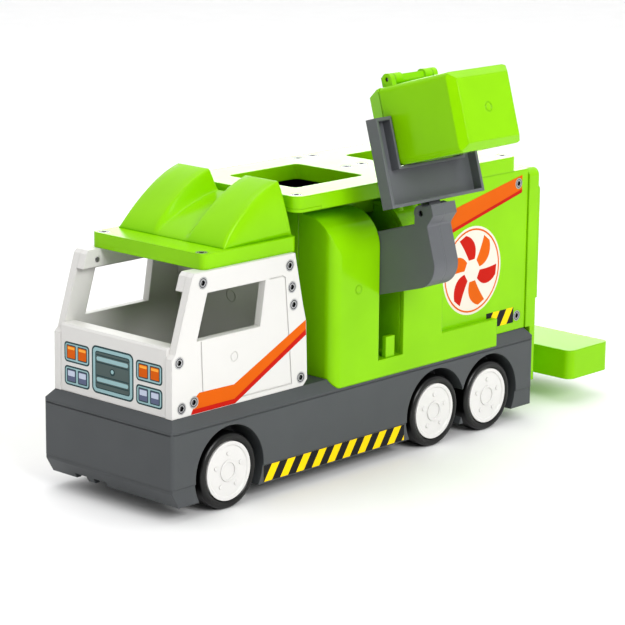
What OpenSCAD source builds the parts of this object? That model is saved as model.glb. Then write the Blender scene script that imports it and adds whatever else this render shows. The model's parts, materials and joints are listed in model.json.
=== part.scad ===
// Toy refuse truck with a swinging side-loader arm, a tipping bin and a pull-out rear drawer.
// Millimetres. The cab faces -X, the loader is on the -Y side, and Z is up from the ground.
// Coordinates inside the modules are measured from the middle of the chassis, at ground level.

/* [Chassis] */
// Length of the chassis
chassis_l = 324; // [320:1:330]
// Width of the chassis
chassis_w = 108; // [106:1:112]
// Height of the flat underside above the ground
chassis_bottom = 9; // [8:0.5:10]
// Height of the chassis top, on which cab and body stand
chassis_top = 60; // [59:0.5:62]
// Size of the sloping edge round the top
chassis_bevel = 5; // [4:0.5:6]
// Wall thickness of the moulded chassis
chassis_wall = 3; // [2.5:0.1:3.2]

/* [Wheels] */
// Outer radius of a tyre
tyre_r = 22.5; // [21.5:0.5:23]
// Width of a tyre
tyre_w = 16; // [14:0.5:16]
// Radius of the white hub
hub_r = 17.5; // [16:0.5:18]
// Radius of an axle
axle_r = 2.5; // [2:0.1:3]
// Radius of a wheel arch
arch_r = 27.5; // [26:0.5:28]
// Position of the front axle
front_axle_x = -115.8; // [-118:0.2:-114]
// Position of the middle axle
middle_axle_x = 65.6; // [64:0.2:66]
// Position of the rear axle
rear_axle_x = 117.6; // [117:0.2:118]

/* [Cab] */
// Width over the two cab side panels
cab_w = 98.2; // [97:0.2:99]
// Thickness of a cab side panel
cab_panel_t = 5.1; // [4.5:0.1:5.5]
// Height of the cab side panels' top edge
cab_top = 141; // [140:0.5:142]
// Thickness of the roof plate
roof_t = 9; // [8:0.5:10]
// Height of the fairing's two humps above the roof plate
fairing_h = 33; // [28:0.5:34]

/* [Body] */
// Front face of the body
body_front = -30; // [-32:0.5:-29]
// Rear end of the body side walls
body_rear = 157.5; // [156:0.5:158]
// Outer face of a side wall, from the middle
wall_y = 49.5; // [49:0.1:49.8]
// Thickness of a side wall
wall_t = 5; // [4.5:0.1:5.5]
// Underside of the deck
deck_z = 164; // [163:0.5:165]
// Thickness of the deck
deck_t = 9.5; // [8:0.5:11]
// Width of the hopper openings in the deck
deck_hole_w = 56; // [50:1:56]

/* [Loader] */
// Height of the arm's pivot above the ground
arm_pivot_z = 126; // [125.5:0.5:126.5]
// Distance of the arm's pivot from the middle of the truck
arm_pivot_y = -36; // [-36.5:0.5:-35.5]
// Distance from the arm's pivot to the fork's pin, along the arm
arm_reach = 56; // [55:0.5:56.5]
// Distance from the arm's pivot to the fork's pin, across the arm
arm_rise = 19; // [18.5:0.5:19.5]
// How far the outer end of the arm is tilted up as stored
arm_tilt = 16; // [10:1:20]
// Width of the slot that the arm swings in
slot_w = 22.6; // [22:0.2:23]
// Opening of the fork, between its two arms
fork_gap = 56.2; // [56:0.2:58]
// Width of the bin
bin_w = 54.5; // [50:0.5:55]
// Height of the bin across its lid
bin_h = 46.6; // [44:0.2:48]
// Depth of the bin's body, from mouth to bottom
bin_d = 56.5; // [50:0.5:60]

/* [Drawer] */
// Distance that the drawer is pulled out as stored
drawer_travel = 34.8; // [30:0.2:36]
// Length of the block at the drawer's end
drawer_block_l = 42.8; // [38:0.2:46]

/* [Hidden] */
$fn = 64;

GREEN = [0.45, 0.78, 0.02];
WHITE = [0.93, 0.92, 0.90];
DARK = [0.22, 0.23, 0.24];
GREY = [0.42, 0.43, 0.45];
BLACK = [0.05, 0.05, 0.05];
STEEL = [0.70, 0.71, 0.72];

eps = 0.01;
running_gap = 0.08;     // radial clearance of a pin or an axle in its bore
free_gap = 0.5;         // clearance beside a moving part
screw_gap = 0.05;       // clearance round a screw

half_l = chassis_l / 2;
half_w = chassis_w / 2;
side_top = chassis_top - 6;
skirt_z = 20.5;         // height of the crease above the inset skirt
skirt_inset = 0.8;
toe_inset = 6;          // how far the front bottom edge is cut back
plate_t = 2.5;          // base plate thickness

AXLES = [front_axle_x, middle_axle_x, rear_axle_x];
axle_z = tyre_r;
wheel_outer = half_w - 1;
wheel_inner = wheel_outer - tyre_w;
well_depth = half_w - wheel_inner + 2.5;
bearing_inner = 24;     // inner end of an axle bearing, from the middle
hub_bore_end = 2.5;     // plastic left outside the axle's end

drawer_mouth_w = 48;
drawer_mouth_z = 28.6;
drawer_gap = 0.4;
tongue_w = 24;
tongue_z = chassis_bottom + plate_t + 0.5;
tongue_t = 3;

roof_z = cab_top + roof_t;
front_panel_x = -156.7;
front_panel_t = 10;
sill_z = 100.3;
cab_inner = cab_w / 2 - cab_panel_t;

tail_x = body_rear + 0.3;
tail_rear = 167.4;
door_w = 92;
door_bottom = 76.5;
door_top = 151;
door_pin_z = 147.6;
door_pin_x = tail_rear + 3.8;
door_knuckle_r = 3.4;

slot_x = 21.9;          // middle of the slot, arm, fork and bin
slot_lo = slot_x - slot_w / 2;
slot_hi = slot_x + slot_w / 2;
slot_floor = 65;
housing_r = 23;         // radius of the housing's rounded shoulder
housing_rear = 69.75;
housing_wall = 3;

arm_w = slot_w - 2 * free_gap;
arm_top = arm_rise - 5.8;
arm_bottom = -24.4;
arm_nose = 3.2;         // arm beyond the fork's pin
arm_round = 14.4;
arm_pin_r = 2.5;
fork_pin_r = 1.8;
tongue_slot_w = 11;

fork_w = fork_gap + 27;
fork_low = 5.9;         // lower edge of the fork above its pin
fork_seat = 29.3;       // the bin's seat above the pin
fork_high = 59;
fork_back = -0.5;
fork_face = 7.5;
fork_plate = 1.8;

bin_seat = fork_seat + 0.4;
bin_mouth = 0.9;
bin_wall = 2;
bin_bevel = 4.5;
lid_depth = 11.4;
lid_gap = 0.3;
lid_taper = 4.2;
lid_pin_r = 1.3;
lid_hinge_r = 3.6;
lid_hinge_s = bin_seat + bin_h + 4;
lid_hinge_t = bin_mouth + 2.1;

screw_head_r = 3.4;
screw_head_t = 1.4;
screw_r = 1.5;

// The row's origin is on the ground, under the middle of the whole model's box.
drawer_rear = tail_rear + drawer_travel + drawer_block_l;
bin_far_y = arm_pivot_y - (arm_reach + bin_mouth + bin_d) * cos(arm_tilt)
    + (arm_rise + bin_seat + bin_bevel) * sin(arm_tilt);
centre_x = (drawer_rear - half_l) / 2;
centre_y = (half_w + bin_far_y) / 2;

// ---------------------------------------------------------------- helpers

module place() translate([-centre_x, -centre_y, 0]) children();

module along_x(x0, x1) translate([x0, 0, 0]) rotate([90, 0, 90]) linear_extrude(x1 - x0) children();

module along_y(y0, y1) translate([0, y1, 0]) rotate([90, 0, 0]) linear_extrude(y1 - y0) children();

module along_z(z0, z1) translate([0, 0, z0]) linear_extrude(z1 - z0) children();

module box(lo, hi) translate(lo) cube(hi - lo);

module rod_x(y, z, r, x0, x1) translate([x0, y, z]) rotate([0, 90, 0]) cylinder(r = r, h = x1 - x0);

module rod_y(x, z, r, y0, y1) translate([x, y0, z]) rotate([-90, 0, 0]) cylinder(r = r, h = y1 - y0);

module both_sides() {
    children();
    mirror([0, 1, 0]) children();
}

module round_rect(lo, hi, r) {
    translate([lo[0] + r, lo[1]]) square([hi[0] - lo[0] - 2 * r, hi[1] - lo[1]]);
    translate([lo[0], lo[1] + r]) square([hi[0] - lo[0], hi[1] - lo[1] - 2 * r]);
    for (x = [lo[0] + r, hi[0] - r], y = [lo[1] + r, hi[1] - r]) translate([x, y]) circle(r = r);
}

// A socket-head screw that stands along -Z, its head's top at z = 0.
module screw(length) difference() {
    union() {
        translate([0, 0, -screw_head_t]) cylinder(r = screw_head_r, h = screw_head_t);
        translate([0, 0, -length]) cylinder(r = screw_r, h = length - screw_head_t + eps);
    }
    translate([0, 0, -1.1]) cylinder(r = 1.7, h = 2, $fn = 6);
    translate([0, 0, -0.4]) rotate_extrude() translate([2.3, 0]) square([0.4, 1]);
}

module screw_hole(length) {
    translate([0, 0, -screw_head_t]) cylinder(r = screw_head_r + screw_gap, h = screw_head_t + 1);
    translate([0, 0, -length - screw_gap]) cylinder(r = screw_r + screw_gap, h = length);
}

// The mark that an ejector pin leaves in a face that looks along +Z.
module pin_mark(r) translate([0, 0, -0.3]) rotate_extrude() translate([r - 0.7, 0]) square([0.7, 1]);

// ---------------------------------------------------------------- chassis and wheels

// Half of the section across the chassis, from the bottom up, at a given half width.
function edge_points(half) = [
    [half - skirt_inset, chassis_bottom], [half - skirt_inset, skirt_z], [half, skirt_z],
    [half, side_top - 2], [half - 0.5, side_top - 2], [half - 0.5, side_top - 1.2],
    [half, side_top - 1.2], [half, side_top], [half - chassis_bevel, chassis_top]
];

// The front edge, whose skirt is cut back under the crease.
function toe_points() = [
    [-half_l + chassis_bevel, chassis_top], [-half_l, side_top], [-half_l, side_top - 1.2],
    [-half_l + 0.5, side_top - 1.2], [-half_l + 0.5, side_top - 2], [-half_l, side_top - 2],
    [-half_l, skirt_z], [-half_l + skirt_inset, skirt_z],
    [-half_l + skirt_inset, skirt_z - 2.5], [-half_l + toe_inset, chassis_bottom]
];

function mirrored(points) = [for (i = [len(points) - 1:-1:0]) [-points[i][0], points[i][1]]];

module chassis_form() intersection() {
    along_x(-half_l, half_l) polygon(concat(edge_points(half_w), mirrored(edge_points(half_w))));
    along_y(-half_w, half_w) polygon(concat(edge_points(half_l), toe_points()));
    along_z(chassis_bottom, chassis_top) round_rect([-half_l, -half_w], [half_l, half_w], 2.5);
}

module chassis_hollow() {
    inner = half_w - chassis_wall - skirt_inset;
    box([-half_l + toe_inset + chassis_wall, -inner, chassis_bottom - 1],
        [half_l - chassis_wall - skirt_inset, inner, side_top - chassis_wall]);
    box([-half_l + chassis_bevel + chassis_wall, -half_w + chassis_bevel + chassis_wall, side_top - 4],
        [half_l - chassis_bevel - chassis_wall, half_w - chassis_bevel - chassis_wall,
         chassis_top - chassis_wall]);
}

module wheel_wells(extra) for (x = AXLES) both_sides()
    rod_y(x, axle_z, arch_r + extra, -half_w - (extra > 0 ? 0 : 1), -half_w + well_depth + extra);

BASE_SCREWS = [[-146, 0], [-75, 30], [-75, -30], [0, 30], [0, -30], [149, 36], [149, -36]];

module base_screw_posts() for (p = BASE_SCREWS) translate([p[0], p[1], chassis_bottom + plate_t])
    cylinder(r = 4, h = chassis_top - chassis_bottom - plate_t - 1);

module base_screw_places() for (p = BASE_SCREWS) translate([p[0], p[1], chassis_bottom])
    rotate([180, 0, 0]) children();

module chassis() color(DARK) place() difference() {
    union() {
        difference() {
            chassis_form();
            chassis_hollow();
        }
        intersection() {
            chassis_form();
            union() {
                wheel_wells(2.5);
                base_screw_posts();
                for (x = AXLES) both_sides()
                    rod_y(x, axle_z, axle_r + 3, -half_w + well_depth, -bearing_inner);
                // The stop that the drawer's tongue meets when it is pulled out.
                box([drawer_stop_x, -20, tongue_z + tongue_t + drawer_gap],
                    [drawer_stop_x + 3, 20, chassis_top - 1]);
            }
        }
    }
    wheel_wells(0);
    for (x = AXLES) rod_y(x, axle_z, axle_r + running_gap, -half_w, half_w);
    box([half_l - 10, -drawer_mouth_w / 2, chassis_bottom - 1],
        [half_l + 1, drawer_mouth_w / 2, drawer_mouth_z]);
    base_screw_places() screw_hole(12);
    // Two finger notches under the front edge.
    for (y = [6, 22]) box([-half_l - 1, y, chassis_bottom - 1], [-half_l + 12, y + 10, chassis_bottom + 3]);
}

module base_plate() color(DARK) place() difference() {
    inner = half_w - chassis_wall - skirt_inset - 0.2;
    box([-half_l + toe_inset + chassis_wall + 0.2, -inner, chassis_bottom],
        [half_l - chassis_wall - skirt_inset - 0.2, inner, chassis_bottom + plate_t]);
    for (x = AXLES) both_sides() rod_y(x, axle_z, arch_r + 2.7, -half_w, -half_w + well_depth + 2.7);
    base_screw_places() screw_hole(12);
    box([-half_l, 5, chassis_bottom - 1], [-half_l + 13, 33, chassis_bottom + 4]);
}

module base_screws() color(STEEL) place() base_screw_places() screw(11);

module axle(x) color(STEEL) place()
    rod_y(x, axle_z, axle_r, -wheel_outer + hub_bore_end, wheel_outer - hub_bore_end);

// A wheel's own frame has its inner face at z = 0 and looks outwards along +Z.
module wheel_frame(x, side) place()
    translate([x, side * wheel_inner, axle_z]) rotate([-side * 90, 0, 0]) children();

module tyre(x, side) color(BLACK) wheel_frame(x, side) rotate_extrude()
    round_rect([hub_r, 0], [tyre_r, tyre_w], 2.2);

module hub(x, side) color(WHITE) wheel_frame(x, side) {
    bore_end = tyre_w - hub_bore_end;
    rotate_extrude() polygon([
        [0, bore_end], [0, tyre_w - 0.8], [hub_r - 2.6, tyre_w - 0.8], [hub_r - 2, tyre_w - 0.1],
        [hub_r, tyre_w - 0.1], [hub_r, 1], [hub_r - 2, 1], [hub_r - 2, bore_end - 0.3],
        [axle_r + 3, bore_end - 0.3], [axle_r + 3, 3], [axle_r, 3], [axle_r, bore_end]
    ]);
    translate([0, 0, tyre_w - 0.8 - eps]) rotate_extrude() translate([5, 0]) square([1.3, 0.7]);
    for (a = [90:72:378]) rotate([0, 0, a]) translate([10.5, 0, tyre_w - 0.8 - eps])
        cylinder(r = 1.3, h = 0.6);
}

// ---------------------------------------------------------------- cab

CAB_SIDE = [
    [-157.3, chassis_top], [-157.2, 94.5], [-154.6, 96.8], [-141.3, cab_top - 2],
    [-139.3, cab_top], [-58, cab_top], [-51, 109.3], [-48.2, 99], [-46.9, chassis_top + 3.5],
    [-50.4, chassis_top]
];
CAB_WINDOW = [[-129.4, 128.6], [-82.5, 128.6], [-86.8, 102], [-137.7, 102]];
CAB_SCREWS = [
    [-151.3, 91.9], [-149.6, 65.2], [-140, 67.1], [-132.8, 134.8], [-62.3, 134.1],
    [-60.3, 121], [-58.8, 110.3], [-52.4, 65.4]
];
ROOF_SCREWS = [[-125.5, 40.5], [-125.5, -40.5]];
side_screw_l = 11;
roof_screw_l = 15;

module cab_screw_places() for (p = CAB_SCREWS) translate([p[0], -cab_w / 2, p[1]])
    rotate([90, 0, 0]) children();

module roof_screw_places() for (p = ROOF_SCREWS) translate([p[0], p[1], roof_z]) children();

// A narrow cut in the left panel's outer face, between two points.
module door_line(p, q) {
    d = q - p;
    translate([p[0], -cab_w / 2 - 1, p[1]]) rotate([0, -atan2(d[1], d[0]), 0])
        translate([-0.3, 0, -0.3]) cube([norm(d) + 0.6, 1.5, 0.6]);
}

module cab_side() difference() {
    along_y(-cab_w / 2, -cab_inner) polygon(CAB_SIDE);
    along_y(-cab_w, 0) polygon(CAB_WINDOW);
    cab_screw_places() screw_hole(side_screw_l);
    door_line([-134.3, 101], [-132.5, 63.3]);
    door_line([-79, 128.8], [-68.4, 128.8]);
    door_line([-68.4, 128.8], [-66.2, 127.4]);
    door_line([-66.2, 127.4], [-60.2, 63.1]);
    door_line([-132.5, 63.3], [-60.2, 63.1]);
    translate([-108, -cab_w / 2, 88]) rotate([90, 0, 0]) pin_mark(3);
}

module cab_left_panel() color(WHITE) place() cab_side();

module cab_right_panel() color(WHITE) place() mirror([0, 1, 0]) cab_side();

module cab_front_panel() color(WHITE) place() difference() {
    union() {
        along_y(-cab_inner, cab_inner) polygon([
            [front_panel_x, chassis_top], [front_panel_x, sill_z - 1.5],
            [front_panel_x + 1, sill_z], [front_panel_x + front_panel_t, sill_z],
            [front_panel_x + front_panel_t, chassis_top]
        ]);
        both_sides() box([front_panel_x + 5, -cab_inner, chassis_top], [-134, -36, chassis_top + 12]);
    }
    both_sides() cab_screw_places() screw_hole(side_screw_l);
}

module cab_rear_panel() color(WHITE) place() difference() {
    along_y(-cab_inner, cab_inner) polygon([
        [-54.4, chassis_top], [-49, chassis_top], [-60.6, cab_top], [-66, cab_top]
    ]);
    both_sides() cab_screw_places() screw_hole(side_screw_l);
    translate([-61.2, 0, 108]) rotate([0, -98.2, 0]) pin_mark(4);
}

// A rail inside each side panel, which the roof plate is screwed down to.
module roof_rail() difference() {
    along_y(-cab_inner, -cab_inner + 5.5) intersection() {
        polygon(CAB_SIDE);
        translate([-160, cab_top - 10.5]) square([92, 10.5]);
    }
    cab_screw_places() screw_hole(side_screw_l);
    roof_screw_places() screw_hole(roof_screw_l);
}

module roof_rail_left() color(WHITE) place() roof_rail();

module roof_rail_right() color(WHITE) place() mirror([0, 1, 0]) roof_rail();

module cab_roof() color(GREEN) place() difference() {
    along_z(cab_top, roof_z) round_rect([-130, -46.4], [-53.6, 46.4], 3.6);
    roof_screw_places() screw_hole(roof_screw_l);
}

// Share of the fairing's height, from 0 at its front edge (u = 0) to 1 at its back (u = 1).
function fairing_rise(u) = (pow(sin(90 * u), 0.8) + pow(u, 0.62)) / 2;

// Half of the fairing's section across, from its middle outwards: how far out, and the share of the
// height there. A flat valley, a slope, a flat crest, then a corner that is round down to the roof.
fairing_valley = 0.62;
fairing_side_r = 3;
fairing_half_w = 43.8;
fairing_steps = 6;
function fairing_half_section(inset) = let (
    slope_start = 10.5 + inset,
    slope = 5.1,
    crest_end = fairing_half_w - inset - fairing_side_r
) concat(
    [[0, fairing_valley]],
    [for (k = [0:fairing_steps]) let (t = k / fairing_steps)
        [slope_start + slope * t, fairing_valley + (1 - fairing_valley) * t * t * (3 - 2 * t)]],
    [for (k = [0:fairing_steps]) let (a = 90 * k / fairing_steps)
        [crest_end + fairing_side_r * sin(a), cos(a)]]
);

function fairing_section(inset) = let (half = fairing_half_section(inset))
    concat([for (k = [len(half) - 1:-1:1]) [-half[k][0], half[k][1]]], half);

// Points of the fairing's skin, pulled in by inset all round; its back leans forwards.
fairing_nu = 16;
fairing_nv = len(fairing_section(0)) - 1;
function fairing_points(inset) = let (
    x0 = -111 + inset,
    x1 = -55.6 - inset,
    height = fairing_h - inset,
    lean = 0.28
) [for (i = [0:fairing_nu], p = fairing_section(inset)) let (
    u = i / fairing_nu,
    h = height * fairing_rise(u) * max(0, p[1])
) [x0 + u * (x1 - x0 - lean * h), p[0], h]];

// Number of the point at step i along and step j across; inner skins start after the outer one.
function fairing_at(i, j, inner) =
    i * (fairing_nv + 1) + j + (inner ? (fairing_nu + 1) * (fairing_nv + 1) : 0);

// The loop of points where a skin meets the roof.
function fairing_base(inner) = concat(
    [for (j = [0:fairing_nv]) fairing_at(0, j, inner)],
    [for (i = [1:fairing_nu]) fairing_at(i, fairing_nv, inner)],
    [for (i = [fairing_nu:-1:1]) fairing_at(i, 0, inner)]
);

function fairing_skin(inner) = [
    for (i = [0:fairing_nu - 1], j = [0:fairing_nv - 1]) each [
        [fairing_at(i, j, inner), fairing_at(i, j + 1, inner), fairing_at(i + 1, j + 1, inner)],
        [fairing_at(i, j, inner), fairing_at(i + 1, j + 1, inner), fairing_at(i + 1, j, inner)]
    ]
];

function flipped(face) = [for (i = [len(face) - 1:-1:0]) face[i]];

module roof_fairing() color(GREEN) place() translate([0, 0, roof_z]) {
    back = [for (inner = [false, true]) [for (j = [0:fairing_nv]) fairing_at(fairing_nu, j, inner)]];
    outer_base = fairing_base(false);
    inner_base = fairing_base(true);
    count = len(outer_base);
    // The base loops close across the back, between the last point and the skin's two rear corners.
    rim = [for (k = [0:count - 1]) let (n = (k + 1) % count)
        [outer_base[k], inner_base[k], inner_base[n], outer_base[n]]];
    polyhedron(
        concat(fairing_points(0), fairing_points(2.4)),
        concat(
            fairing_skin(false), [for (f = fairing_skin(true)) flipped(f)],
            [back[0]], [flipped(back[1])], rim
        ),
        convexity = 8
    );
}

module cab_screws() color(STEEL) place() both_sides() cab_screw_places() screw(side_screw_l);

module roof_screws() color(STEEL) place() roof_screw_places() screw(roof_screw_l);

// ---------------------------------------------------------------- body

BODY_SCREWS = [[148, 155.5], [149.5, 69]];
body_screw_l = 10;
deck_screw_y = 41.4;
deck_screw_l = 15;
deck_front_screw_l = 9;
DECK_SCREWS = [
    for (x = [39.6, 53], y = [-deck_screw_y, 0, deck_screw_y]) [x, y],
    for (y = [-deck_screw_y, deck_screw_y]) [140, y]
];
ledge_rear = -37.2;     // rear edge of the ledge under the front of the deck
ledge_t = 2;
drawer_stop_x = 79.3;

module deck_screw_places() for (p = DECK_SCREWS) translate([p[0], p[1], deck_z + deck_t]) children();

module deck_front_screw_places() for (y = [-43, 0, 43]) translate([-51, y, deck_z + deck_t]) children();

module body_screw_places() for (p = BODY_SCREWS) translate([p[0], -wall_y, p[1]])
    rotate([90, 0, 0]) children();

// A boss inside a side wall for the deck screws at x, on the +Y side.
module deck_boss(x) box([x - 2.9, deck_screw_y - 2.9, deck_z - 10], [x + 2.9, wall_y - wall_t, deck_z]);

// The wall behind the cab. A ledge on it lies under the front of the deck, which is screwed to it.
module body_front_wall() color(GREEN) place() difference() {
    union() {
        box([body_front, -24.8, chassis_top], [body_front + wall_t, wall_y - wall_t, deck_z]);
        box([ledge_rear - 3, -24.8, deck_z - 4], [body_front, wall_y - wall_t, deck_z]);
        along_z(deck_z, deck_z + ledge_t) intersection() {
            deck_outline();
            translate([-60, -60]) square([60 + ledge_rear, 120]);
        }
    }
    deck_front_screw_places() screw_hole(deck_front_screw_l);
}

module body_left_wall() color(GREEN) place() difference() {
    union() {
        box([housing_rear, -wall_y, chassis_top], [body_rear, -wall_y + wall_t, deck_z]);
        mirror([0, 1, 0]) deck_boss(140);
    }
    body_screw_places() screw_hole(body_screw_l);
    deck_screw_places() screw_hole(deck_screw_l);
}

module body_right_wall() color(GREEN) place() difference() {
    union() {
        box([body_front, wall_y - wall_t, chassis_top], [body_rear, wall_y, deck_z]);
        for (x = [39.6, 53, 140]) deck_boss(x);
    }
    mirror([0, 1, 0]) body_screw_places() screw_hole(body_screw_l);
    deck_screw_places() screw_hole(deck_screw_l);
}

// Section across the lift housing, pulled in by inset; its shoulder is a quarter circle.
module housing_section(inset) {
    shoulder_z = 157 - housing_r;
    low = chassis_top + inset;
    translate([-half_w + housing_r, shoulder_z]) circle(r = housing_r - inset);
    polygon([
        [-half_w + inset, side_top + 1.3 * inset], [-half_w + inset, shoulder_z],
        [-half_w + housing_r, shoulder_z], [-half_w + housing_r, 157 - inset],
        [-24.9, 157 - inset], [-24.9, low], [-half_w + chassis_bevel + inset, low]
    ]);
}

module lift_housing() color(GREEN) place() difference() {
    union() {
        intersection() {
            union() {
                difference() {
                    along_x(body_front, housing_rear) housing_section(0);
                    along_x(body_front + housing_wall, housing_rear - housing_wall)
                        housing_section(housing_wall);
                }
                // Lip that closes the gap between the shoulder and the deck, and two posts under it.
                box([body_front, -28, 150], [housing_rear, -24.9, deck_z]);
                for (x = [39.6, 53]) translate([x, -deck_screw_y, 150]) cylinder(r = 4, h = deck_z - 150);
            }
            along_z(0, 300) {
                round_rect([body_front, -half_w], [housing_rear + 20, half_w], 7);
                translate([body_front, 0]) square([housing_rear - body_front, 10]);
            }
        }
        along_x(housing_rear - eps, 124) polygon([
            [-half_w, side_top], [-half_w, 72], [-wall_y, 72], [-wall_y, chassis_top],
            [-half_w + chassis_bevel, chassis_top]
        ]);
    }
    box([body_front - 1, -24.9, 0], [housing_rear + 1, 60, 300]);
    // The slot opens the shoulder, but stops short of the lip behind it.
    box([slot_lo, -half_w - 1, slot_floor], [slot_hi, -28, deck_z + 1]);
    box([slot_lo, -29, slot_floor], [slot_hi, -20, 150]);
    deck_screw_places() screw_hole(deck_screw_l);
    for (p = [[-8, 112], [51, 112]]) translate([p[0], -half_w, p[1]]) rotate([90, 0, 0]) pin_mark(3);
}

// The peg that the lowered arm rests against.
module arm_stop() box([slot_x - 3, -52.6, slot_floor], [slot_x + 5, -49.4, slot_floor + 13]);

// The open-fronted box behind the slot, in which the arm swings.
module lift_bay() color(GREEN) place() difference() {
    wall = 2.3;
    union() {
        intersection() {
            along_x(slot_lo - wall, slot_hi + wall) polygon([
                [-half_w + housing_wall, slot_floor - 2], [-6.2, slot_floor - 2], [-6.2, 120.3],
                [-19.4, 120.3], [-19.4, 149.5], [-28.2, 149.5], [-28.2, 154], [-half_w, 154]
            ]);
            along_x(0, 100) housing_section_wide();
        }
        rod_x(arm_pivot_y, arm_pivot_z, arm_pin_r + 3, slot_lo - 6, slot_hi + 6);
        arm_stop();
    }
    difference() {
        along_x(slot_lo, slot_hi) polygon([
            [-half_w - 1, slot_floor], [-8.5, slot_floor], [-8.5, 118], [-21.5, 118],
            [-21.5, deck_z + 1], [-half_w - 1, deck_z + 1]
        ]);
        arm_stop();
    }
    rod_x(arm_pivot_y, arm_pivot_z, arm_pin_r, slot_lo - 7, slot_hi + 7);
}

// The housing's section carried on inwards, so that the bay stays inside it.
module housing_section_wide() {
    translate([-half_w + housing_r, 157 - housing_r]) circle(r = housing_r - housing_wall);
    translate([-half_w + housing_wall, 0]) square([housing_r - housing_wall, 157 - housing_r]);
    translate([-half_w + housing_r, 0]) square([40, 157 - housing_wall]);
}

DECK_HOLES = [[-36, 24.3], [67.5, 126]];

module deck_outline() round_rect([-57, -50], [146, 50], 6.3);

module deck() color(GREEN) place() difference() {
    along_z(deck_z, deck_z + deck_t) deck_outline();
    box([-60, -60, deck_z - 1], [ledge_rear + 0.2, 60, deck_z + ledge_t]);
    for (h = DECK_HOLES) along_z(deck_z - 1, deck_z + deck_t + 1)
        round_rect([h[0], -deck_hole_w / 2], [h[1], deck_hole_w / 2], 3.6);
    deck_screw_places() screw_hole(deck_screw_l);
    deck_front_screw_places() screw_hole(deck_front_screw_l);
}

module deck_screws() color(STEEL) place() {
    deck_screw_places() screw(deck_screw_l);
    deck_front_screw_places() screw(deck_front_screw_l);
}

// Floor height of the hopper chute at x; it falls to the back.
function chute_z(x) = 146 - 0.31 * (x + 36.5);
liner_front = body_front + wall_t + 0.2;
liner_rear = 157.4;
liner_wall = 2;

module liner_section(inset) polygon([
    [-24.6 + inset, deck_z + inset], [-24.6 + inset, 157], [-18.5 + inset, 149], [-18.5 + inset, 60],
    [38 - inset, 60], [38 - inset, deck_z + inset]
]);

module liner_above(x0, x1, drop) along_y(-60, 60)
    polygon([[x0, chute_z(x0) - drop], [x1, chute_z(x1) - drop], [x1, 200], [x0, 200]]);

// The chute under the deck, with a bridge between the two openings for the middle deck screws.
module hopper_liner() color(BLACK) place() difference() {
    intersection() {
        along_x(liner_front, liner_rear) liner_section(0);
        liner_above(liner_front, liner_rear, 2.5);
    }
    difference() {
        intersection() {
            along_x(liner_front + liner_wall, liner_rear + 1) liner_section(liner_wall);
            liner_above(liner_front + liner_wall, liner_rear + 1, 0);
        }
        box([32, -60, deck_z - 6], [60, 60, deck_z]);
    }
    deck_screw_places() screw_hole(deck_screw_l);
    box([142, -60, 157.5], [200, 60, 200]);
}

module tail_frame() color(GREEN) place() difference() {
    union() {
        along_x(tail_x, tail_rear) {
            translate([-wall_y - 0.9, chassis_top]) square([2 * wall_y + 1.8, 98]);
            round_rect([-wall_y - 0.9, 100], [wall_y + 0.9, deck_z - 0.5], 5);
        }
        box([half_l + 0.2, -wall_y - 0.9, 28.8], [tail_rear, wall_y + 0.9, chassis_top]);
        box([146.2, -wall_y + wall_t, 158], [tail_x + 1, wall_y - wall_t, deck_z]);
        both_sides() box([143, -wall_y + wall_t, chassis_top], [tail_x + 1, -39, 158]);
        for (y = [-42, 36]) along_y(y, y + 6) {
            translate([door_pin_x, door_pin_z]) circle(r = door_knuckle_r);
            translate([tail_rear - 1, door_pin_z - door_knuckle_r])
                square([door_pin_x - tail_rear + 1, 2 * door_knuckle_r]);
        }
    }
    box([140, -38.5, 82], [tail_rear + 1, 38.5, 143]);
    rod_y(door_pin_x, door_pin_z, 1.5, -45, 45);
    both_sides() body_screw_places() screw_hole(body_screw_l);
}

module tail_door() color(GREEN) place() difference() {
    union() {
        box([tail_rear + 0.4, -door_w / 2, door_bottom], [tail_rear + 7.2, door_w / 2, door_pin_z]);
        rod_y(door_pin_x, door_pin_z, door_knuckle_r, -door_w / 2, door_w / 2);
    }
    both_sides() box([tail_rear - 1, -42.6, door_pin_z - door_knuckle_r - 1.6],
        [tail_rear + 9, -35.4, door_top + 2]);
    rod_y(door_pin_x, door_pin_z, 1.5 + running_gap, -door_w, door_w);
    // Finger recess under the lower edge.
    box([tail_rear + 4.5, -12, door_bottom - 1], [tail_rear + 8, 12, door_bottom + 4]);
}

module tail_door_pin() color(STEEL) place() rod_y(door_pin_x, door_pin_z, 1.5, -44.5, 44.5);

module body_screws() color(STEEL) place() both_sides() body_screw_places() screw(body_screw_l);

// ---------------------------------------------------------------- loader

// The arm's own frame: its pivot at the origin, -Y out along the arm.
module arm_frame() place() translate([0, arm_pivot_y, arm_pivot_z]) rotate([-arm_tilt, 0, 0]) children();

// The fork's own frame: its pin at the origin, -Y outwards, +Z up along its two arms.
module fork_frame() arm_frame() translate([0, -arm_reach, arm_rise]) children();

module arm_outline(inset) {
    nose = -arm_reach - arm_nose;
    circle(r = arm_top - inset);
    translate([nose + arm_round, arm_bottom + arm_round]) circle(r = arm_round - inset);
    polygon([
        [0, arm_top - inset], [nose + inset, arm_top - inset], [nose + inset, arm_bottom + arm_round],
        [nose + arm_round, arm_bottom + inset], [-10.5 - inset, arm_bottom + inset],
        [10.4 - inset, -8.1]
    ]);
}

module arm_lugs() polygon([
    [-58, 8], [-60, 11.5], [-65.4, 16], [-65.4, 22.8], [-56, 22.8], [-51.4, 19], [-50, 14.2], [-49.5, 8]
]);

module arm_form(x0, x1) {
    along_x(x0, x1) arm_outline(0);
    along_x(x0, x1) arm_lugs();
    rod_x(-arm_reach, arm_rise, 5, x0, x1);
}

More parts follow.
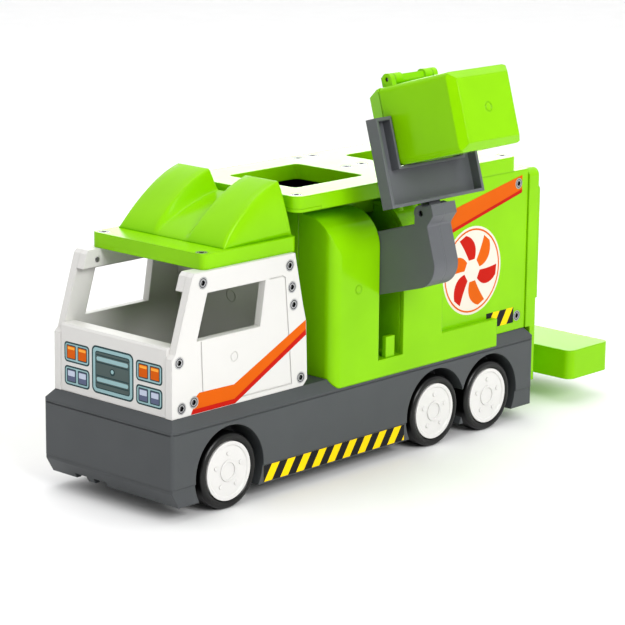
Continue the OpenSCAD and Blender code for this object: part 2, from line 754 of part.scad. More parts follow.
module arm_cuts() {
    rod_x(0, 0, arm_pin_r + running_gap, 0, 50);
    rod_x(-arm_reach, arm_rise, fork_pin_r, 0, 50);
    along_x(slot_x - tongue_slot_w / 2, slot_x + tongue_slot_w / 2) {
        translate([-arm_reach, arm_rise]) circle(r = 5.4);
        translate([-arm_reach - 4.8, arm_rise - 5.4]) square([20, 20]);
    }
}

module arm_hollow(x0, x1) difference() {
    along_x(x0, x1) intersection() {
        arm_outline(2.5);
        translate([-100, -100]) square([200, 100 + arm_top - 3]);
    }
    rod_x(0, 0, arm_pin_r + 3, 0, 50);
}

module arm_front_half() color(GREY) arm_frame() difference() {
    arm_form(slot_x - arm_w / 2, slot_x);
    arm_hollow(slot_x - arm_w / 2 + 2.5, slot_x + 1);
    arm_cuts();
}

module arm_rear_half() color(GREY) arm_frame() difference() {
    arm_form(slot_x, slot_x + arm_w / 2);
    arm_hollow(slot_x - 1, slot_x + arm_w / 2 - 2.5);
    arm_cuts();
}

module arm_pin() color(STEEL) arm_frame() rod_x(0, 0, arm_pin_r, slot_lo - 5.5, slot_hi + 5.5);

// The fork's outline, seen along the arm: a U, pulled in by inset.
module fork_outline(inset, inner_inset) difference() {
    translate([slot_x - fork_w / 2 + inset, fork_low + inset])
        square([fork_w - 2 * inset, fork_high - fork_low - 2 * inset]);
    translate([slot_x - fork_gap / 2 - inner_inset, fork_seat - inner_inset])
        square([fork_gap + 2 * inner_inset, 100]);
}

module fork() color(GREY) fork_frame() difference() {
    union() {
        along_y(-fork_face, -fork_back) fork_outline(0, 0);
        along_x(slot_x - 5, slot_x + 5) {
            circle(r = 4.8);
            translate([-3.2, 0]) square([6.4, fork_low + 1]);
        }
    }
    along_y(-fork_face - 1, -fork_back - fork_plate) fork_outline(2, 1.6);
    rod_x(0, 0, fork_pin_r + running_gap, 0, 50);
}

module fork_pin() color(STEEL) fork_frame()
    rod_x(0, 0, fork_pin_r, slot_x - arm_w / 2 + 2, slot_x + arm_w / 2 - 2);

// A block round the bin's middle: width and height pulled in by inset, from y0 to y1.
module bin_block(inset, y0, y1, r) along_y(y0, y1) round_rect(
    [slot_x - bin_w / 2 + inset, bin_seat + inset],
    [slot_x + bin_w / 2 - inset, bin_seat + bin_h - inset], r
);

// Outline of the bin's depth against a width that runs from lo to hi.
function bin_depth_points(lo, hi) = [
    [lo, -bin_mouth], [hi, -bin_mouth], [hi, -bin_mouth - bin_d + bin_bevel],
    [hi - bin_bevel, -bin_mouth - bin_d], [lo + bin_bevel, -bin_mouth - bin_d],
    [lo, -bin_mouth - bin_d + bin_bevel]
];

module bin_body() color(GREEN) fork_frame() difference() {
    union() {
        intersection() {
            bin_block(0, -bin_mouth - bin_d, -bin_mouth, 3.5);
            along_z(0, 200) polygon(bin_depth_points(slot_x - bin_w / 2, slot_x + bin_w / 2));
            along_x(-100, 100) polygon([
                for (p = bin_depth_points(bin_seat, bin_seat + bin_h)) [p[1], p[0]]
            ]);
        }
        for (x = [slot_x - 21, slot_x + 17]) along_x(x, x + 4) {
            translate([-lid_hinge_t, lid_hinge_s]) circle(r = lid_hinge_r);
            translate([-lid_hinge_t - lid_hinge_r, lid_hinge_s - 5])
                square([lid_hinge_r + lid_hinge_t - bin_mouth - 0.5, 5]);
        }
    }
    bin_block(bin_wall, -bin_mouth - bin_d + bin_bevel, 0, 1.5);
    bin_block(bin_wall + bin_bevel, -bin_mouth - bin_d + bin_wall, 0, 1.5);
    rod_x(-lid_hinge_t, lid_hinge_s, lid_pin_r, 0, 50);
    translate([slot_x, -bin_mouth - bin_d, bin_seat + bin_h / 2]) rotate([90, 0, 0]) pin_mark(3);
}

// Outline of the lid's depth against a width that runs from lo to hi.
function lid_points(lo, hi) = let (face = -bin_mouth + lid_gap, top = face + lid_depth) [
    [lo, face], [hi, face], [hi - lid_taper, top], [lo + lid_taper, top]
];

module bin_lid() color(GREEN) fork_frame() difference() {
    face = -bin_mouth + lid_gap;
    union() {
        intersection() {
            bin_block(0, face, face + lid_depth, 2.5);
            along_z(0, 200) polygon(lid_points(slot_x - bin_w / 2, slot_x + bin_w / 2));
            along_x(-100, 100) polygon([for (p = lid_points(bin_seat, bin_seat + bin_h)) [p[1], p[0]]]);
        }
        along_x(slot_x - 16.6, slot_x + 16.6) {
            translate([-lid_hinge_t, lid_hinge_s]) circle(r = lid_hinge_r);
            translate([-lid_hinge_t, lid_hinge_s - lid_hinge_r])
                square([lid_hinge_t + 5, lid_hinge_r + 2.2]);
        }
        along_x(slot_x - 16.6, slot_x + 16.6) translate([face, lid_hinge_s - 9])
            square([lid_taper + 1, 9]);
    }
    bin_block(lid_taper + bin_wall, face - 1, face + lid_depth - bin_wall, 1.5);
    // The pocket between the lid's two hinge straps.
    box([slot_x - 10, -lid_hinge_t - 2.2, lid_hinge_s + lid_pin_r + 0.9],
        [slot_x + 10, 3, lid_hinge_s + lid_hinge_r + 1]);
    box([slot_x - 10, -lid_hinge_t - 5, lid_hinge_s - lid_pin_r],
        [slot_x + 10, -lid_hinge_t - lid_pin_r - 0.9, lid_hinge_s + lid_hinge_r + 1]);
    rod_x(-lid_hinge_t, lid_hinge_s, lid_pin_r + running_gap, 0, 50);
}

module lid_pin() color(STEEL) fork_frame()
    rod_x(-lid_hinge_t, lid_hinge_s, lid_pin_r, slot_x - 20, slot_x + 20);

// ---------------------------------------------------------------- drawer, pulled out

block_lo = tail_rear + drawer_travel;
tray_lo = block_lo - 44;
block_bottom = 17;
block_top = 36.4;

module drawer_block() color(GREEN) place() difference() {
    along_z(block_bottom, block_top) round_rect([block_lo, -half_w], [drawer_rear, half_w], 5.5);
    along_z(block_bottom - 1, block_top - 2.5)
        round_rect([block_lo + 2.5, -half_w + 2.5], [drawer_rear - 2.5, half_w - 2.5], 3);
}

module drawer_cover() color(GREEN) place() along_z(block_bottom, block_bottom + 2.3)
    round_rect([block_lo + 2.6, -half_w + 2.6], [drawer_rear - 2.6, half_w - 2.6], 2.9);

module drawer_tray() color(GREEN) place() {
    half = drawer_mouth_w / 2 - drawer_gap;
    floor_z = tongue_z + tongue_t;
    difference() {
        box([tray_lo, -half, tongue_z], [block_lo, half, drawer_mouth_z - drawer_gap]);
        box([tray_lo + 2, -half + 2, floor_z], [block_lo - 2, half - 2, drawer_mouth_z + 1]);
    }
    box([drawer_stop_x - 4.3, -tongue_w / 2, tongue_z], [tray_lo + 1, tongue_w / 2, floor_z]);
    box([drawer_stop_x - 4.3, -tongue_w / 2, tongue_z], [drawer_stop_x - 0.3, tongue_w / 2, floor_z + 3.4]);
}

// ---------------------------------------------------------------- nodes

chassis();
base_plate();
base_screws();
axle(front_axle_x);  // axle_front
axle(middle_axle_x);  // axle_middle
axle(rear_axle_x);  // axle_rear
tyre(front_axle_x, -1);  // tyre_front_left
tyre(front_axle_x, 1);  // tyre_front_right
tyre(middle_axle_x, -1);  // tyre_middle_left
tyre(middle_axle_x, 1);  // tyre_middle_right
tyre(rear_axle_x, -1);  // tyre_rear_left
tyre(rear_axle_x, 1);  // tyre_rear_right
hub(front_axle_x, -1);  // hub_front_left
hub(front_axle_x, 1);  // hub_front_right
hub(middle_axle_x, -1);  // hub_middle_left
hub(middle_axle_x, 1);  // hub_middle_right
hub(rear_axle_x, -1);  // hub_rear_left
hub(rear_axle_x, 1);  // hub_rear_right
cab_left_panel();
cab_right_panel();
cab_front_panel();
cab_rear_panel();
roof_rail_left();
roof_rail_right();
cab_roof();
roof_fairing();
cab_screws();
roof_screws();
body_front_wall();
body_left_wall();
body_right_wall();
lift_housing();
lift_bay();
deck();
deck_screws();
hopper_liner();
tail_frame();
tail_door();
tail_door_pin();
body_screws();
arm_front_half();
arm_rear_half();
arm_pin();
fork();
fork_pin();
bin_body();
bin_lid();
lid_pin();
drawer_block();
drawer_cover();
drawer_tray();
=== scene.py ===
"""Looks, prints, light and camera for the toy refuse truck.

Lengths are in metres where Blender takes them. The prints and the fairing are laid out in millimetres
in the truck's own frame, and at() turns those into metres.
"""

import json
import math

import bmesh
import bpy
from mathutils import Matrix, Vector


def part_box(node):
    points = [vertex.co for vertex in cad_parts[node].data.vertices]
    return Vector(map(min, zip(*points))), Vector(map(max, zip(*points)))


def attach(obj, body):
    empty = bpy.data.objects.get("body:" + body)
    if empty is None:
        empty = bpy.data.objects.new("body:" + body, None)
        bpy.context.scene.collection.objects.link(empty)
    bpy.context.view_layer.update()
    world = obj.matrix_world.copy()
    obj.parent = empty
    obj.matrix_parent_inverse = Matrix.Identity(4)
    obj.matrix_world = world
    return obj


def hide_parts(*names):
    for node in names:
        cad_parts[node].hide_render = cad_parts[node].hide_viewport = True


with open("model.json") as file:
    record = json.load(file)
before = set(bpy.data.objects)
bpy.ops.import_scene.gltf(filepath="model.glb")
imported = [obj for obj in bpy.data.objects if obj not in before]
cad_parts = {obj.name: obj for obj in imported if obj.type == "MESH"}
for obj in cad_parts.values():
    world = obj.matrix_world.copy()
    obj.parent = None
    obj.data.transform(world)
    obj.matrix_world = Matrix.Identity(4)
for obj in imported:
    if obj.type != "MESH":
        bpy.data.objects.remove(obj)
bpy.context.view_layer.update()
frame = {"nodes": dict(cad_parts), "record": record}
MM = 0.001

# The truck's own frame: the middle of the chassis, on the ground.
chassis_lo, chassis_hi = (Vector(corner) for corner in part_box("chassis"))
MIDDLE = Vector(((chassis_lo.x + chassis_hi.x) / 2, (chassis_lo.y + chassis_hi.y) / 2, 0))
half_w = (chassis_hi.y - chassis_lo.y) / 2 / MM

# Outer faces that the prints and the fairing lie on, in millimetres of the truck's own frame.
SKIRT_Y = half_w - 0.8
CAB_Y = 49.1
WALL_Y = 49.5
FRONT_X = -156.7
ROOF_Z = 150


def at(x, y, z):
    """A point of the truck's own frame, given in millimetres."""
    return MIDDLE + Vector((x, y, z)) * MM


# ---------------------------------------------------------------- materials

# The scales of the noise textures are in cells a metre. A grain's depth and the reach of the painted shade
# inside a socket are in metres.
CLOUD_SCALE = 22.0
SMEAR_SCALE = 60.0
PLASTIC_GRAIN_SCALE = 1400.0
STEEL_GRAIN_SCALE = 2200.0
GRAIN_DEPTH = 0.0001
PAINTED_SOCKET_SHADE_REACH = 0.0025
BEVEL_SAMPLES = 6


def node(tree, kind, **values):
    """A shader node with its sockets set: values are named by socket, with _ for a space."""
    made = tree.nodes.new(kind)
    for name, value in values.items():
        made.inputs[name.replace("_", " ")].default_value = value
    return made


def plastic(name, colour, roughness, grain=0.12, edge=0.0007, tint=0.05, shine=0.5,
            grain_scale=PLASTIC_GRAIN_SCALE):
    """Moulded plastic: slightly uneven colour and gloss, a fine grain, and softly rounded edges."""
    made = bpy.data.materials.new(name)
    made.use_nodes = True
    made.diffuse_color = (*colour, 1)
    tree = made.node_tree
    shader = tree.nodes["Principled BSDF"]
    place = tree.nodes.new("ShaderNodeTexCoord")

    cloud = node(tree, "ShaderNodeTexNoise", Scale=CLOUD_SCALE, Detail=3.0)
    tree.links.new(place.outputs["Object"], cloud.inputs["Vector"])
    shades = tree.nodes.new("ShaderNodeValToRGB")
    shades.color_ramp.elements[0].position = 0.3
    shades.color_ramp.elements[0].color = (*(c * (1 - tint) for c in colour), 1)
    shades.color_ramp.elements[1].position = 0.7
    shades.color_ramp.elements[1].color = (*(min(1, c * (1 + tint)) for c in colour), 1)
    tree.links.new(cloud.outputs["Fac"], shades.inputs["Fac"])
    tree.links.new(shades.outputs["Color"], shader.inputs["Base Color"])

    smear = node(tree, "ShaderNodeTexNoise", Scale=SMEAR_SCALE, Detail=4.0)
    tree.links.new(place.outputs["Object"], smear.inputs["Vector"])
    gloss = node(tree, "ShaderNodeMapRange", To_Min=roughness * 0.85, To_Max=roughness * 1.2)
    tree.links.new(smear.outputs["Fac"], gloss.inputs["Value"])
    tree.links.new(gloss.outputs["Result"], shader.inputs["Roughness"])

    fine = node(tree, "ShaderNodeTexNoise", Scale=grain_scale, Detail=2.0)
    tree.links.new(place.outputs["Object"], fine.inputs["Vector"])
    soft = tree.nodes.new("ShaderNodeBevel")
    soft.samples = BEVEL_SAMPLES
    soft.inputs["Radius"].default_value = edge
    bump = node(tree, "ShaderNodeBump", Strength=grain, Distance=GRAIN_DEPTH)
    tree.links.new(fine.outputs["Fac"], bump.inputs["Height"])
    tree.links.new(soft.outputs["Normal"], bump.inputs["Normal"])
    tree.links.new(bump.outputs["Normal"], shader.inputs["Normal"])
    shader.inputs["Specular IOR Level"].default_value = shine
    return made


def metal(name, colour, roughness):
    """Plated steel: the plastic's unevenness on a metal shader, with painted shade inside sockets and gaps.
    """
    made = plastic(name, colour, roughness, grain=0.3, edge=0.0002, tint=0.12,
                   grain_scale=STEEL_GRAIN_SCALE)
    tree = made.node_tree
    shader = tree.nodes["Principled BSDF"]
    shader.inputs["Metallic"].default_value = 1.0
    shades = shader.inputs["Base Color"].links[0].from_socket
    # Painted shade: ambient occlusion darkens the steel's colour inside sockets and gaps.
    socket_occlusion = node(tree, "ShaderNodeAmbientOcclusion", Distance=PAINTED_SOCKET_SHADE_REACH)
    painted_shade_level = node(tree, "ShaderNodeMapRange", From_Min=0.45, From_Max=0.85, To_Min=0.02)
    painted_shade_colour = tree.nodes.new("ShaderNodeVectorMath")
    painted_shade_colour.operation = "SCALE"
    tree.links.new(socket_occlusion.outputs["AO"], painted_shade_level.inputs["Value"])
    tree.links.new(shades, painted_shade_colour.inputs["Vector"])
    tree.links.new(painted_shade_level.outputs["Result"], painted_shade_colour.inputs["Scale"])
    tree.links.new(painted_shade_colour.outputs["Vector"], shader.inputs["Base Color"])
    return made


FINISHES = {
    "green_plastic": plastic("green_plastic", (0.255, 0.59, 0.001), 0.19, edge=0.0011, shine=0.20),
    "white_plastic": plastic("white_plastic", (0.67, 0.66, 0.64), 0.38, edge=0.0009, tint=0.02),
    "dark_plastic": plastic("dark_plastic", (0.072, 0.078, 0.082), 0.50, grain=0.35, edge=0.0008),
    "grey_plastic": plastic("grey_plastic", (0.125, 0.13, 0.142), 0.42, grain=0.2, edge=0.0008),
    "black_plastic": plastic("black_plastic", (0.008, 0.008, 0.009), 0.28, edge=0.0006, tint=0.2),
    "tyre_black": plastic("tyre_black", (0.004, 0.004, 0.004), 0.30, grain=0.3, edge=0.0006, tint=0.2),
    "hub_white": plastic("hub_white", (0.70, 0.69, 0.675), 0.32, edge=0.0005, tint=0.02),
    "steel": metal("steel", (0.48, 0.48, 0.49), 0.30),
}
for part in frame["record"]["subparts"]:
    for slot in frame["nodes"][part["node"]].material_slots:
        slot.material = FINISHES[part["material_slot"]]


def ink(name, colour):
    """Printed film: nearly smooth and less shiny than the mouldings."""
    return plastic(name, colour, 0.42, grain=0.06, edge=0.0001, shine=0.12)


ORANGE = ink("print_orange", (0.66, 0.125, 0.001))
RED = ink("print_red", (0.50, 0.012, 0.004))
CREAM = ink("print_cream", (0.74, 0.68, 0.60))
YELLOW = ink("print_yellow", (0.93, 0.66, 0.004))
BLACK = ink("print_black", (0.02, 0.02, 0.022))
TEAL_DARK = ink("print_teal_dark", (0.035, 0.07, 0.075))
TEAL_LIGHT = ink("print_teal_light", (0.33, 0.50, 0.52))
FIELD = ink("print_field", (0.10, 0.135, 0.13))
LENS_WHITE = ink("print_lens_white", (0.55, 0.60, 0.72))
LENS_BLUE = ink("print_lens_blue", (0.13, 0.15, 0.24))
AMBER = ink("print_amber", (0.98, 0.42, 0.06))

# ---------------------------------------------------------------- prints


def on_side(side, surface):
    """Places (along X, up, out) in millimetres on a face that looks along -Y (side -1) or +Y (side 1)."""
    return lambda u, v, out: at(u, side * (surface + out), v)


def on_front(u, v, out):
    """Places (along Y, up, out) in millimetres on the cab's front."""
    return at(FRONT_X - out, u, v)


def thin_mesh(name, loops, place, low, high, material, body):
    """A sheet piece: each loop of (u, v) points becomes a prism from low to high above its surface."""
    mesh = bpy.data.meshes.new(name)
    shape = bmesh.new()
    for loop in loops:
        bottom = [shape.verts.new(place(u, v, low)) for u, v in loop]
        top = [shape.verts.new(place(u, v, high)) for u, v in loop]
        shape.faces.new(bottom[::-1])
        shape.faces.new(top)
        for i in range(len(loop)):
            j = (i + 1) % len(loop)
            shape.faces.new((bottom[i], bottom[j], top[j], top[i]))
    bmesh.ops.recalc_face_normals(shape, faces=shape.faces)
    shape.to_mesh(mesh)
    shape.free()
    made = bpy.data.objects.new(name, mesh)
    bpy.context.scene.collection.objects.link(made)
    mesh.materials.append(material)
    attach(made, body)


def arc(cx, cy, r, start, end, steps):
    """Points along an arc, from one angle to another in degrees."""
    turn = [math.radians(start + (end - start) * i / steps) for i in range(steps + 1)]
    return [(cx + r * math.cos(a), cy + r * math.sin(a)) for a in turn]


def rounded(u0, v0, u1, v1, r):
    """Outline of a rectangle with rounded corners."""
    corners = [(u1 - r, v1 - r, 0), (u0 + r, v1 - r, 90), (u0 + r, v0 + r, 180), (u1 - r, v0 + r, 270)]
    return [p for cx, cy, start in corners for p in arc(cx, cy, r, start, start + 90, 6)]


def ring(cx, cy, inner, outer, steps=48):
    """Four-sided pieces that make up a ring."""
    out = arc(cx, cy, outer, 0, 360, steps)
    inn = arc(cx, cy, inner, 0, 360, steps)
    return [[out[i], out[i + 1], inn[i + 1], inn[i]] for i in range(steps)]


def hazard(x0, x1, z0, z1, pitch, lean):
    """Slanted stripes that fill a band, each cut off at the band's ends."""
    stripes = []
    x = x0 - lean
    while x < x1:
        corners = [(x, z0), (x + pitch / 2, z0), (x + pitch / 2 + lean, z1), (x + lean, z1)]
        cut = clipped(clipped(corners, x0, 1), x1, -1)
        if len(cut) > 2:
            stripes.append(cut)
        x += pitch
    return stripes


def clipped(loop, limit, sign):
    """The part of a convex loop where sign * (u - limit) is not negative."""
    kept = []
    for i, p in enumerate(loop):
        q = loop[(i + 1) % len(loop)]
        p_in = sign * (p[0] - limit) >= 0
        q_in = sign * (q[0] - limit) >= 0
        if p_in:
            kept.append(p)
        if p_in != q_in:
            t = (limit - p[0]) / (q[0] - p[0])
            kept.append((limit, p[1] + t * (q[1] - p[1])))
    return kept


SHEET = 0.08   # millimetres that a print stands off its surface
LAYER = 0.04   # millimetres that each further layer adds

# Screws that the prints are cut around: (along X, up) in millimetres, and the radius of their holes.
WALL_SCREW = (148.0, 155.5)
CAB_SCREW = (-140.0, 67.1)
SCREW_HOLE_R = 3.6

# The disc on the side wall. A blade's edges start at 0 and TRAILING_ROOT degrees and turn on their way out.
EMBLEM = (103.05, 105.8)
EMBLEM_R = 28.3
BLADE_INNER = 7.5
BLADE_LENGTH = 16.5
LEADING_TURN = 34
TRAILING_ROOT = 44
TRAILING_TURN = 6

# The slanted stripes of the black and yellow bands.
HAZARD_PITCH = 13.5
HAZARD_LEAN = 6.5


def blade(turn):
    """One curved blade of the pinwheel on the side wall."""
    def polar(r, degrees):
        a = math.radians(turn + degrees)
        return EMBLEM[0] + r * math.cos(a), EMBLEM[1] + r * math.sin(a)
    steps = [i / 10 for i in range(11)]
    leading = [polar(BLADE_INNER + BLADE_LENGTH * t, LEADING_TURN * t * t) for t in steps]
    trailing = [polar(BLADE_INNER + BLADE_LENGTH * t, TRAILING_ROOT + TRAILING_TURN * t) for t in steps]
    return leading + trailing[::-1]


def side_prints(side, label):
    """The printed sheets on one side of the truck."""
    wall = on_side(side, WALL_Y)
    cab = on_side(side, CAB_Y)
    skirt = on_side(side, SKIRT_Y)
    disc = arc(*EMBLEM, EMBLEM_R, 0, 360, 64)[:-1]
    thin_mesh(f"disc_{label}", [disc], wall, 0, SHEET, CREAM, "truck")
    edge = ring(*EMBLEM, EMBLEM_R - 2.6, EMBLEM_R - 1.5)
    thin_mesh(f"disc_ring_{label}", edge, wall, 0.5 * SHEET, SHEET + LAYER, ORANGE, "truck")
    for ink_name, material, first in (("orange", ORANGE, 12), ("red", RED, 72)):
        blades = [blade(first + 120 * k) for k in range(3)]
        name = f"pinwheel_{ink_name}_{label}"
        thin_mesh(name, blades, wall, 0.5 * SHEET, SHEET + LAYER, material, "truck")

    # A notch goes round the screw at the band's rear end, and is open where the screw passes that end.
    rear = 151.3
    mouth = math.degrees(math.acos((rear - WALL_SCREW[0]) / SCREW_HOLE_R))
    notch = arc(*WALL_SCREW, SCREW_HOLE_R, -mouth, mouth - 360, 32)
    band = [(78.0, 133.2), (rear, 151.2), *notch, (rear, 160.6), (140.5, 158.6), (78.0, 146.2)]
    edge = [(78.0, 131.4), (rear, 149.4), (rear, 151.6), (78.0, 133.6)]
    thin_mesh(f"wall_stripe_{label}", [band], wall, 0, SHEET, ORANGE, "truck")
    thin_mesh(f"wall_stripe_edge_{label}", [edge], wall, 0, SHEET + LAYER, RED, "truck")

    band = [(-142.4, 60.3), *arc(*CAB_SCREW, SCREW_HOLE_R, -100, 60, 16), (-135.9, 72.0), (-107.9, 71.7),
            (-48.6, 99.6), (-48.4, 92.4), (-107.3, 61.6), (-139.9, 61.0)]
    edge = [(-142.4, 60.3), (-140.9, 63.0), (-107.6, 63.1), (-48.5, 94.0), (-48.3, 90.6), (-107.2, 60.3)]
    thin_mesh(f"cab_stripe_{label}", [band], cab, 0, SHEET, ORANGE, "truck")
    thin_mesh(f"cab_stripe_edge_{label}", [edge], cab, 0, SHEET + LAYER, RED, "truck")

    for name, place, x0, x1, z0, z1 in (
        ("wall_hazard", wall, 118.5, 145.8, 65.2, 75.2),
        ("skirt_hazard", skirt, -87.5, 36.5, 9.8, 19.6),
    ):
        ground = [(x0, z0), (x1, z0), (x1, z1), (x0, z1)]
        stripes = hazard(x0, x1, z0, z1, HAZARD_PITCH, HAZARD_LEAN)
        thin_mesh(f"{name}_{label}", [ground], place, 0, SHEET, YELLOW, "truck")
        thin_mesh(f"{name}_stripes_{label}", stripes, place, 0.5 * SHEET, SHEET + LAYER, BLACK, "truck")


side_prints(-1, "left")
side_prints(1, "right")


def front_print(name, loops, level, material):
    """A sheet on the cab's front: level says how many others it lies on."""
    top = SHEET + level * LAYER
    bottom = 0 if level == 0 else top - 1.5 * LAYER
    thin_mesh(f"front_{name}", loops, on_front, bottom, top, material, "truck")


def bars(half, z_values, height):
    """Level bars with rounded ends, one at each height."""
    return [rounded(-half, z - height / 2, half, z + height / 2, height * 0.45) for z in z_values]


GRILLE = (17.4, 63.9, 92.0)   # half width, bottom and top in millimetres


def grille_inset(inset, r):
    """The grille's outline, drawn in all round."""
    half, low, high = GRILLE
    return rounded(-half + inset, low + inset, half - inset, high - inset, r)


front_print("grille_outline", [grille_inset(0, 3.6)], 0, TEAL_DARK)
front_print("grille_border", [grille_inset(1.0, 2.8)], 1, TEAL_LIGHT)
front_print("grille_shadow", [grille_inset(3.0, 1.6)], 2, TEAL_DARK)
front_print("grille_field", [grille_inset(3.6, 1.2)], 3, FIELD)
front_print("grille_grooves", bars(13.6, (70.2, 74.6, 82.4, 86.8), 0.7), 4, TEAL_DARK)
front_print("grille_bars", bars(13.2, (72.4, 84.6), 2.5), 5, TEAL_LIGHT)
front_print("grille_boss", [arc(0, 78.4, 2.1, 0, 360, 24)[:-1]], 5, TEAL_DARK)
front_print("grille_boss_cap", [arc(0, 78.7, 1.2, 0, 360, 20)[:-1]], 6, TEAL_LIGHT)

# Each row of lamps: its name, bottom, top, lens, and how far its glint reaches down from the top.
LAMPS = (("upper", 78.0, 90.0, ORANGE, 4.4), ("lower", 64.2, 75.8, LENS_BLUE, 6.0))
for row, low, high, lens, glint in LAMPS:
    rims, borders, gaps, lenses, glints = [], [], [], [], []
    for side in (-1, 1):
        u0, u1 = sorted((side * 19.6, side * 41.0))
        rims.append(rounded(u0, low, u1, high, 2.4))
        borders.append(rounded(u0 + 0.9, low + 0.9, u1 - 0.9, high - 0.9, 1.8))
        middle = (u0 + u1) / 2
        for a, b in ((u0 + 2.0, middle - 0.8), (middle + 0.8, u1 - 2.0)):
            gaps.append(rounded(a, low + 1.9, b, high - 1.7, 0.7))
            lenses.append(rounded(a + 0.6, low + 2.5, b - 0.6, high - 2.3, 0.4))
            glints.append(rounded(a + 1.0, high - glint, b - 1.0, high - 2.8, 0.5))
    front_print(f"{row}_lamp_rims", rims, 0, TEAL_DARK)
    front_print(f"{row}_lamp_borders", borders, 1, TEAL_LIGHT)
    front_print(f"{row}_lamp_gaps", gaps, 2, TEAL_DARK)
    front_print(f"{row}_lamp_lenses", lenses, 3, lens)
    front_print(f"{row}_lamp_glints", glints, 4, AMBER if row == "upper" else LENS_WHITE)

# ---------------------------------------------------------------- roof fairing

# Lengths in millimetres. Across, the skin has a flat valley, a slope, a flat crest and a rounded side.
FAIRING_X = (-111.0, -55.6)
FAIRING_HALF = 43.8
FAIRING_HEIGHT = 33.0
FAIRING_LEAN = 0.28
FAIRING_VALLEY = 0.62
FAIRING_SLOPE = (10.5, 15.6)
FAIRING_SIDE_R = 3.0
FAIRING_WALL = 2.0
SHARP_FROM = math.radians(32)


def fairing_rise(u):
    """Share of the height, from the front edge (u = 0) to the back (u = 1)."""
    return (math.sin(math.pi / 2 * u) ** 0.8 + u ** 0.62) / 2


def fairing_section(slope_steps=16, side_steps=14):
    """Points (across, share of the height) from one side of the fairing to the other."""
    start, end = FAIRING_SLOPE
    half = [(0.0, FAIRING_VALLEY), (start / 2, FAIRING_VALLEY)]
    for k in range(slope_steps + 1):
        t = k / slope_steps
        share = FAIRING_VALLEY + (1 - FAIRING_VALLEY) * t * t * (3 - 2 * t)
        half.append((start + (end - start) * t, share))
    crest_end = FAIRING_HALF - FAIRING_SIDE_R
    half += [(end + (crest_end - end) * k / 4, 1.0) for k in (1, 2, 3)]
    for k in range(side_steps + 1):
        a = math.pi / 2 * k / side_steps
        half.append((crest_end + FAIRING_SIDE_R * math.sin(a), max(0.0, math.cos(a))))
    return [(-y, share) for y, share in half[:0:-1]] + half


def fairing_mesh(along=72, back=14):
    """The two-humped skin: rows rise from its front edge to the crest, then go down its back."""
    x0, x1 = FAIRING_X
    rows = [((i / along) ** 1.5, 1.0) for i in range(along + 1)]
    rows += [(1.0, 1 - k / back) for k in range(1, back + 1)]
    section = fairing_section()
    shape = bmesh.new()
    grid = []
    for u, share in rows:
        line = []
        for y, part in section:
            h = FAIRING_HEIGHT * fairing_rise(u) * part * share
            x = x0 + u * (x1 - x0 - FAIRING_LEAN * h)
            line.append(shape.verts.new(at(x, y, ROOF_Z + h)))
        grid.append(line)
    for low, high in zip(grid, grid[1:]):
        for j in range(len(section) - 1):
            shape.faces.new((low[j], low[j + 1], high[j + 1], high[j]))
    bmesh.ops.remove_doubles(shape, verts=shape.verts, dist=1e-6)
    bmesh.ops.recalc_face_normals(shape, faces=shape.faces)
    mesh = bpy.data.meshes.new("fairing_shell")
    for face in shape.faces:
        face.smooth = True
    for edge in shape.edges:
        edge.smooth = edge.calc_face_angle(0.0) < SHARP_FROM
    shape.to_mesh(mesh)
    shape.free()
    return mesh


fairing = bpy.data.objects.new("fairing_shell", fairing_mesh())
bpy.context.scene.collection.objects.link(fairing)
fairing.data.materials.append(FINISHES["green_plastic"])
wall = fairing.modifiers.new("wall", "SOLIDIFY")
wall.thickness = FAIRING_WALL * MM
wall.offset = -1
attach(fairing, "truck")
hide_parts("roof_fairing")

# ---------------------------------------------------------------- floor, light and camera

# The camera was fitted to the photo. Its sensor and lens are in millimetres, and the floor is in metres.
YAW, PITCH, ROLL = (math.radians(a) for a in (42.93476, 13.34313, 0.58675))
EYE = at(-1104.74, -1037.08, 446.99)
SENSOR_WIDTH = 36
LENS = 146.4
FLOOR_HALF = 7
LIGHTS_AIM = Vector((0, 0, 0.08))


def floor():
    """A pale sheet, wide enough to fill the picture."""
    shape = bmesh.new()
    bmesh.ops.create_grid(shape, x_segments=12, y_segments=12, size=FLOOR_HALF)
    mesh = bpy.data.meshes.new("floor")
    shape.to_mesh(mesh)
    shape.free()
    made = bpy.data.objects.new("floor", mesh)
    bpy.context.scene.collection.objects.link(made)
    sheet = plastic("floor_sheet", (0.86, 0.86, 0.86), 0.7, grain=0.05, edge=0.0001, tint=0.01)
    mesh.materials.append(sheet)


floor()


def soft_light(name, place, size, power):
    """A square lamp that faces the truck."""
    lamp = bpy.data.lights.new(name, "AREA")
    lamp.shape = "SQUARE"
    lamp.size = size
    lamp.energy = power
    made = bpy.data.objects.new(name, lamp)
    made.location = place
    aim = LIGHTS_AIM - Vector(place)
    made.rotation_euler = aim.to_track_quat("-Z", "Y").to_euler()
    bpy.context.scene.collection.objects.link(made)


soft_light("key", (-0.5, -2.3, 1.5), 1.3, 42)
soft_light("fill", (-2.2, -0.2, 1.2), 1.6, 6)
soft_light("top", (0.2, 0.3, 2.4), 1.6, 10)


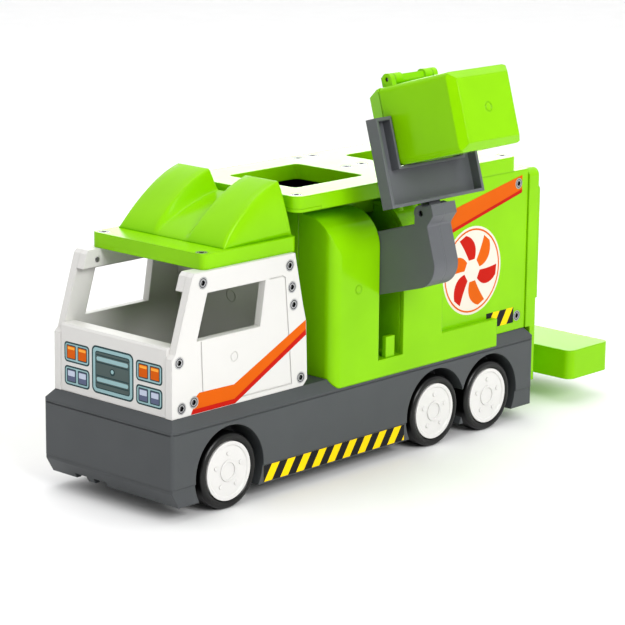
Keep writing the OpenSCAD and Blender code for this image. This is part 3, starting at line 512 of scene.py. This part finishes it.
def studio():
    """A white room: bright overhead, dim behind the camera, and a low bright strip behind the truck."""
    world = bpy.data.worlds.new("studio")
    world.use_nodes = True
    tree = world.node_tree
    place = tree.nodes.new("ShaderNodeTexCoord")

    def facing(direction, low, high, dim, bright):
        """A level that goes from dim to bright as a ray turns towards a direction."""
        turn = tree.nodes.new("ShaderNodeVectorMath")
        turn.operation = "DOT_PRODUCT"
        turn.inputs[1].default_value = Vector(direction).normalized()
        tree.links.new(place.outputs["Generated"], turn.inputs[0])
        level = node(tree, "ShaderNodeMapRange", From_Min=low, From_Max=high, To_Min=dim, To_Max=bright)
        tree.links.new(turn.outputs["Value"], level.inputs["Value"])
        return level.outputs["Result"]

    def joined(operation, first, second):
        """Two levels, added or multiplied."""
        both = tree.nodes.new("ShaderNodeMath")
        both.operation = operation
        tree.links.new(first, both.inputs[0])
        tree.links.new(second, both.inputs[1])
        return both.outputs["Value"]

    room = facing((math.cos(YAW), math.sin(YAW), 1.1), -0.5, 0.8, 0.08, 1.0)
    low_down = facing((0, 0, -1), -0.23, -0.17, 0, 1)
    behind = facing((math.cos(YAW), math.sin(YAW), 0), 0.6, 0.95, 0, 2.6)
    level = joined("ADD", room, joined("MULTIPLY", low_down, behind))
    tree.links.new(level, tree.nodes["Background"].inputs["Strength"])
    tree.nodes["Background"].inputs["Color"].default_value = (1, 1, 1, 1)
    bpy.context.scene.world = world


studio()
bpy.context.scene.view_settings.view_transform = "Standard"
bpy.context.scene.view_settings.look = "Medium High Contrast"


def camera():
    """A long lens, in front of the truck's left side and a little above it."""
    data = bpy.data.cameras.new("camera")
    data.sensor_width = SENSOR_WIDTH
    data.lens = LENS
    data.clip_end = 100
    ahead = Vector((math.cos(YAW) * math.cos(PITCH), math.sin(YAW) * math.cos(PITCH), -math.sin(PITCH)))
    level = Vector((math.sin(YAW), -math.cos(YAW), 0))
    above = level.cross(ahead)
    right = math.cos(ROLL) * level + math.sin(ROLL) * above
    up = math.cos(ROLL) * above - math.sin(ROLL) * level
    made = bpy.data.objects.new("camera", data)
    turn = Matrix((right, up, -ahead)).transposed().to_4x4()
    turn.translation = EYE
    made.matrix_world = turn
    bpy.context.scene.collection.objects.link(made)
    bpy.context.scene.camera = made


camera()
